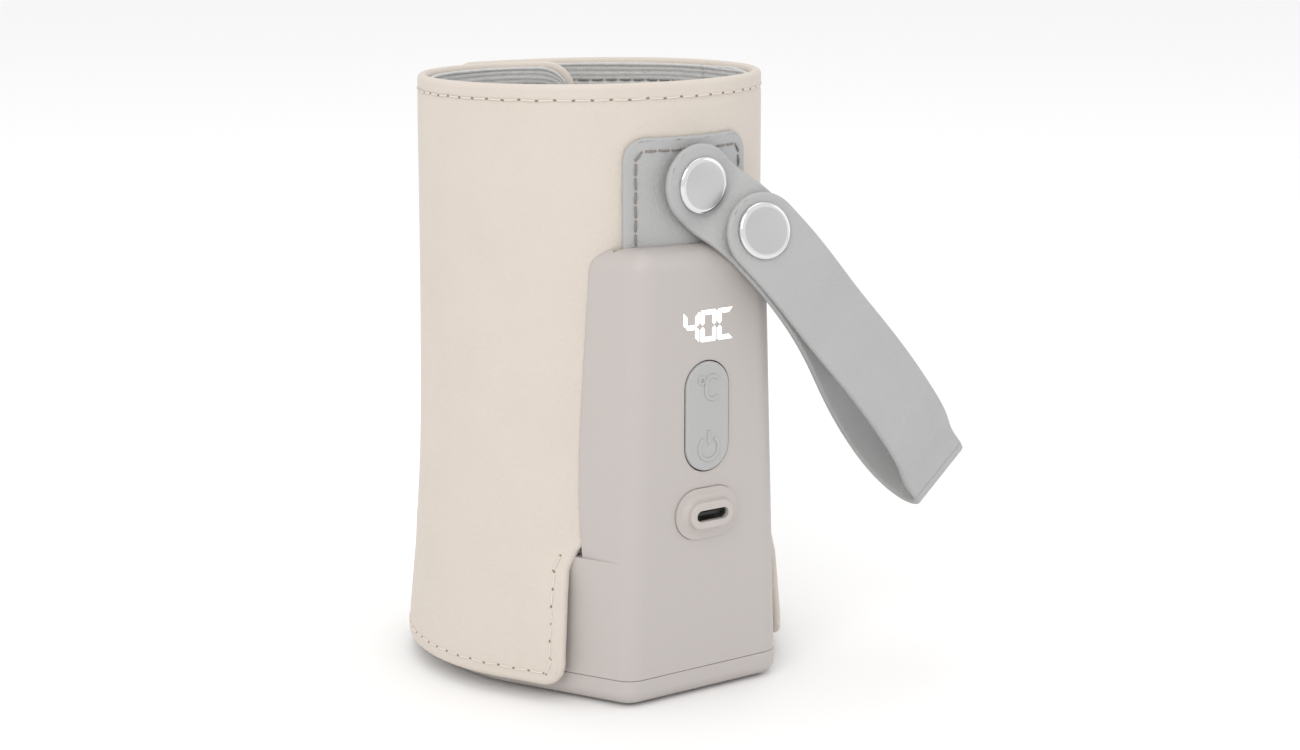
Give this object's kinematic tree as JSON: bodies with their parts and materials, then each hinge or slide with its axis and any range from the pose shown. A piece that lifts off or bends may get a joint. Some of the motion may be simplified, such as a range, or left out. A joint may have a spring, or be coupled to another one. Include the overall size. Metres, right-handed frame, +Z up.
{
  "type": "bottle warmer",
  "caption": "Cordless feeding-bottle warmer: soft leather wrap with a heated lining on a round battery base, front control housing with display, key pad and charging socket, snap carry strap.",
  "frame": {"origin": "on the floor, on the bottle's axis, at the centre of the rubber foot pad", "axes": "+Z up along the bottle, -Y towards the front with the display, +X to the right seen from the front"},
  "size_m": [0.1169, 0.0993, 0.1373],
  "materials": {
    "cream_leather": "fine grained calf-look leather, satin",
    "grey_leather": "pebbled leather, satin",
    "ribbed_lining": "ribbed knit",
    "foam": "soft foam sheet",
    "heating_film": "printed film",
    "hook_and_loop": "hook and loop tape",
    "housing_plastic": "fine spark-eroded texture",
    "inner_plastic": "plain moulded",
    "silicone": "matt silicone",
    "bezel_plastic": "fine texture",
    "stainless": "brushed",
    "screw_steel": "plated",
    "snap_metal": "polished edge, brushed face",
    "circuit_board": "solder mask",
    "component_black": "moulded",
    "light_guide": "milky, lit from behind",
    "led_package": "milky",
    "cell_sleeve": "heat-shrunk sleeve",
    "nickel_tab": "plain",
    "lead_insulation": "extruded",
    "flex_film": "polyimide",
    "carbon_pill": "matt"
  },
  "bodies": {
    "housing": {"wrap_leather": "cream_leather", "leather_patch": "grey_leather", "wrap_lining": "ribbed_lining", "wrap_foam": "foam", "heating_film": "heating_film", "main_housing": "housing_plastic", "bottom_cover": "housing_plastic", "bottle_seat": "inner_plastic", "battery_holder": "inner_plastic", "pod_back_cover": "inner_plastic", "seat_pad": "silicone", "foot_pad": "silicone", "socket_bezel": "bezel_plastic", "temperature_sensor": "stainless", "socket_shell": "stainless", "cover_screws": "screw_steel", "seat_screws": "screw_steel", "back_cover_screws": "screw_steel", "snap_stud_upper": "snap_metal", "power_board": "circuit_board", "display_board": "circuit_board", "power_board_parts": "component_black", "socket_tongue": "component_black", "display_light_guide": "light_guide", "display_leds": "led_package", "battery_cells": "cell_sleeve", "battery_tabs": "nickel_tab", "battery_leads": "lead_insulation", "flex_cable": "flex_film"},
    "keys": {"key_pad": "silicone", "key_contacts": "carbon_pill"},
    "strap": {"strap_loop": "grey_leather", "snap_cap_upper": "snap_metal", "snap_socket_upper": "snap_metal", "snap_stud_lower": "snap_metal"},
    "strap_tail": {"strap_tail": "grey_leather", "snap_cap_lower": "snap_metal", "snap_socket_lower": "snap_metal"},
    "closing_flap": {"closing_flap_leather": "cream_leather", "closing_flap_lining": "ribbed_lining", "loop_strip": "hook_and_loop"},
    "inner_flap": {"inner_flap_leather": "cream_leather", "inner_flap_lining": "ribbed_lining", "hook_strip": "hook_and_loop"}
  },
  "joints": [
    {"name": "key_rock", "type": "hinge", "parent": "housing", "child": "keys", "pos_m": [0, -0.0446, 0.0642], "axis": [1, 0, 0], "range_deg": [-4, 4], "stiffness_Nm_per_rad": 0.15},
    {"name": "strap_swing", "type": "hinge", "parent": "housing", "child": "strap", "pos_m": [0, -0.0416, 0.115], "axis": [0, -1, 0], "range_deg": [-8, 260]},
    {"name": "strap_open", "type": "hinge", "parent": "strap", "child": "strap_tail", "pos_m": [0.06244, -0.04987, 0.04545], "axis": [0.7604, 0, 0.6494], "range_deg": [0, 95]},
    {"name": "closing_flap_open", "type": "hinge", "parent": "housing", "child": "closing_flap", "pos_m": [0.03713, 0.00655, 0.0356], "axis": [0, 0, -1], "range_deg": [0, 100]},
    {"name": "inner_flap_open", "type": "hinge", "parent": "housing", "child": "inner_flap", "pos_m": [-0.03088, 0.02162, 0.0356], "axis": [0, 0, 1], "range_deg": [0, 70]}
  ],
  "couplings": [
    {"joint": "inner_flap_open", "follows": "closing_flap_open", "ratio": 0.7}
  ]
}
